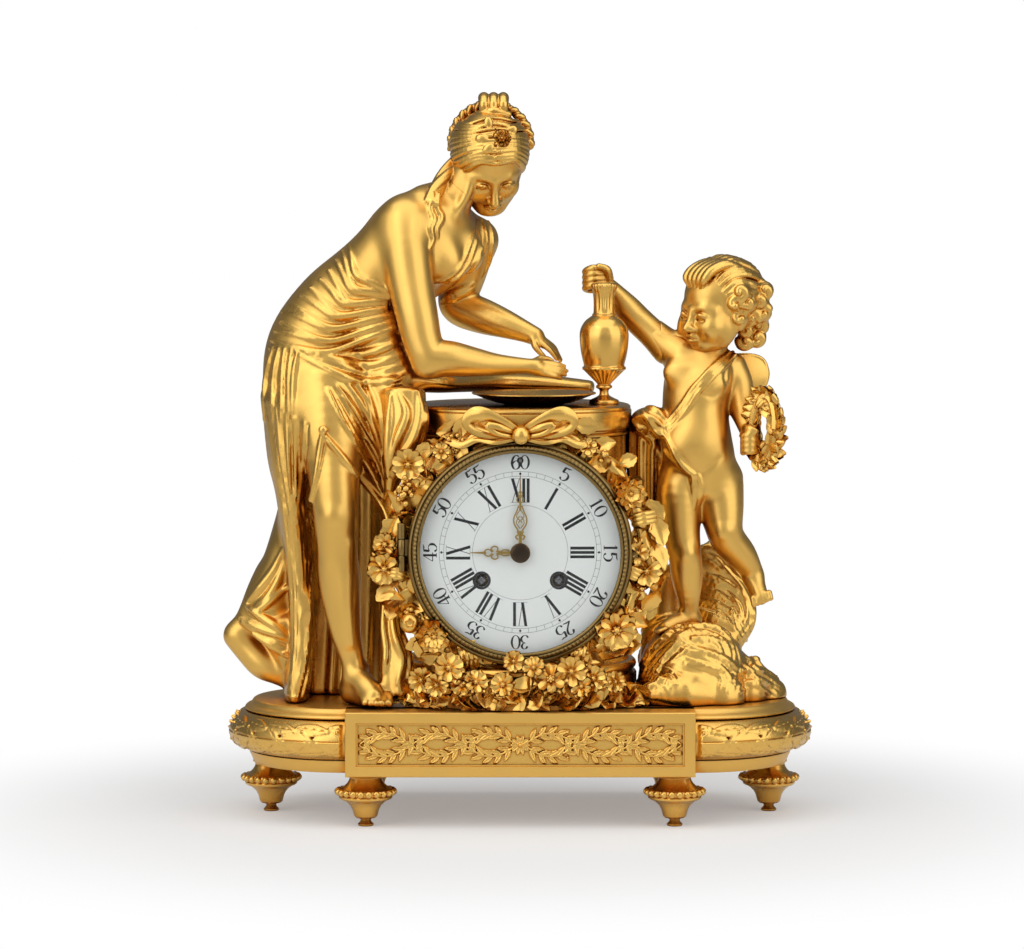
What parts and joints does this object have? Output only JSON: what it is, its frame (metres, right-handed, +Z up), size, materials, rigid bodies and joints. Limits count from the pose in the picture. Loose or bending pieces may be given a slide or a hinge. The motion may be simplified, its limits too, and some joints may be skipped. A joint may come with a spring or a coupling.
{
  "type": "mantel clock",
  "caption": "Gilt bronze mantel clock: a draped woman leans over a round pedestal holding the dial, a winged child on a cloud beside it, on a moulded base with turned feet.",
  "frame": {"origin": "on the standing plane under the middle of the base", "axes": "+Z up, the dial faces -Y, +X to the viewer's right"},
  "size_m": [0.3414, 0.1516, 0.4184],
  "materials": {
    "burnished_gilt_bronze": "burnished mercury gilding",
    "matt_gilt_bronze": "matt mercury gilding",
    "brass": "aged brass",
    "steel": "polished steel",
    "bell_metal": "bell metal",
    "enamel": "fired white enamel",
    "glass": "polished"
  },
  "bodies": {
    "clock_case": {"base_block": "burnished_gilt_bronze", "front_left_foot": "burnished_gilt_bronze", "front_right_foot": "burnished_gilt_bronze", "back_left_foot": "burnished_gilt_bronze", "back_right_foot": "burnished_gilt_bronze", "left_end_foot": "burnished_gilt_bronze", "right_end_foot": "burnished_gilt_bronze", "pedestal_foot": "burnished_gilt_bronze", "pedestal_shaft": "burnished_gilt_bronze", "pedestal_cap": "burnished_gilt_bronze", "woman_body": "burnished_gilt_bronze", "woman_right_arm": "burnished_gilt_bronze", "woman_left_arm": "burnished_gilt_bronze", "basin": "burnished_gilt_bronze", "ewer": "burnished_gilt_bronze", "child_body": "burnished_gilt_bronze", "child_right_arm": "burnished_gilt_bronze", "left_end_band": "matt_gilt_bronze", "right_end_band": "matt_gilt_bronze", "front_frieze": "matt_gilt_bronze", "right_wing": "matt_gilt_bronze", "left_wing": "matt_gilt_bronze", "leaf_wreath": "matt_gilt_bronze", "cloud": "matt_gilt_bronze", "garland": "matt_gilt_bronze", "foot_swag": "matt_gilt_bronze", "case_tube": "brass", "front_plate": "brass", "back_plate": "brass", "pillar_1": "brass", "pillar_2": "brass", "pillar_3": "brass", "pillar_4": "brass", "suspension_cock": "brass", "bezel_hinge_pin": "steel", "bell_stand": "steel", "back_hinge_pin": "steel", "bell": "bell_metal", "dial": "enamel"},
    "bezel_door": {"bezel": "brass", "bezel_glass": "glass"},
    "back_door": {"back_door": "brass"},
    "minute_hand": {"minute_hand": "burnished_gilt_bronze", "hand_collet": "brass", "centre_wheel": "brass", "cannon_pinion": "steel"},
    "hour_hand": {"hour_hand": "burnished_gilt_bronze", "hour_wheel": "brass"},
    "minute_wheel": {"minute_wheel": "brass"},
    "third_wheel": {"third_wheel": "brass"},
    "escape_wheel": {"escape_wheel": "brass"},
    "going_barrel": {"going_barrel": "brass"},
    "going_arbor": {"going_arbor": "steel"},
    "strike_barrel": {"strike_barrel": "brass"},
    "strike_arbor": {"strike_arbor": "steel"},
    "strike_wheel": {"strike_wheel": "brass"},
    "pallet_anchor": {"pallet_anchor": "steel"},
    "pendulum": {"pendulum": "brass"},
    "hammer": {"hammer": "steel"},
    "regulator": {"regulator_arbor": "steel"}
  },
  "joints": [
    {"name": "bezel_hinge", "type": "hinge", "parent": "clock_case", "child": "bezel_door", "pos_m": [-0.0676, -0.0624, 0.1603], "axis": [0, 0, -1], "range_deg": [0, 110]},
    {"name": "back_door_hinge", "type": "hinge", "parent": "clock_case", "child": "back_door", "pos_m": [0.0622, 0.0644, 0.1573], "axis": [0, 0, -1], "range_deg": [0, 110]},
    {"name": "minute_turn", "type": "hinge", "parent": "clock_case", "child": "minute_hand", "pos_m": [0, 0, 0.1573], "axis": [0, 1, 0], "continuous": true},
    {"name": "hour_turn", "type": "hinge", "parent": "clock_case", "child": "hour_hand", "pos_m": [0, 0, 0.1573], "axis": [0, 1, 0], "continuous": true},
    {"name": "minute_wheel_turn", "type": "hinge", "parent": "clock_case", "child": "minute_wheel", "pos_m": [0, 0, 0.1405], "axis": [0, 1, 0], "continuous": true},
    {"name": "third_turn", "type": "hinge", "parent": "clock_case", "child": "third_wheel", "pos_m": [0.01485, 0, 0.17215], "axis": [0, 1, 0], "continuous": true},
    {"name": "escape_turn", "type": "hinge", "parent": "clock_case", "child": "escape_wheel", "pos_m": [0, 0, 0.18099], "axis": [0, 1, 0], "continuous": true},
    {"name": "going_barrel_turn", "type": "hinge", "parent": "clock_case", "child": "going_barrel", "pos_m": [0.022, 0, 0.1413], "axis": [0, 1, 0], "continuous": true},
    {"name": "going_winding", "type": "hinge", "parent": "clock_case", "child": "going_arbor", "pos_m": [0.022, 0, 0.1413], "axis": [0, 1, 0], "continuous": true},
    {"name": "strike_barrel_turn", "type": "hinge", "parent": "clock_case", "child": "strike_barrel", "pos_m": [-0.022, 0, 0.1413], "axis": [0, 1, 0], "continuous": true},
    {"name": "strike_winding", "type": "hinge", "parent": "clock_case", "child": "strike_arbor", "pos_m": [-0.022, 0, 0.1413], "axis": [0, 1, 0], "continuous": true},
    {"name": "strike_wheel_turn", "type": "hinge", "parent": "clock_case", "child": "strike_wheel", "pos_m": [-0.02655, 0, 0.1671], "axis": [0, 1, 0], "continuous": true},
    {"name": "pendulum_swing", "type": "hinge", "parent": "clock_case", "child": "pendulum", "pos_m": [0, 0, 0.19449], "axis": [0, 1, 0], "range_deg": [-4, 4]},
    {"name": "anchor_rock", "type": "hinge", "parent": "clock_case", "child": "pallet_anchor", "pos_m": [0, 0, 0.19449], "axis": [0, 1, 0], "range_deg": [-4, 4]},
    {"name": "hammer_lift", "type": "hinge", "parent": "clock_case", "child": "hammer", "pos_m": [-0.022, 0, 0.1933], "axis": [0, 1, 0], "range_deg": [0, 10]},
    {"name": "regulator_turn", "type": "hinge", "parent": "clock_case", "child": "regulator", "pos_m": [0, 0, 0.2098], "axis": [0, 1, 0], "range_deg": [-180, 180]}
  ],
  "couplings": [
    {"joint": "hour_turn", "follows": "minute_turn", "ratio": 0.083333},
    {"joint": "minute_wheel_turn", "follows": "minute_turn", "ratio": -0.33333},
    {"joint": "third_turn", "follows": "minute_turn", "ratio": -5},
    {"joint": "escape_turn", "follows": "minute_turn", "ratio": 20},
    {"joint": "going_barrel_turn", "follows": "minute_turn", "ratio": -0.28571},
    {"joint": "strike_wheel_turn", "follows": "strike_barrel_turn", "ratio": -4.2},
    {"joint": "anchor_rock", "follows": "pendulum_swing", "ratio": 1}
  ]
}
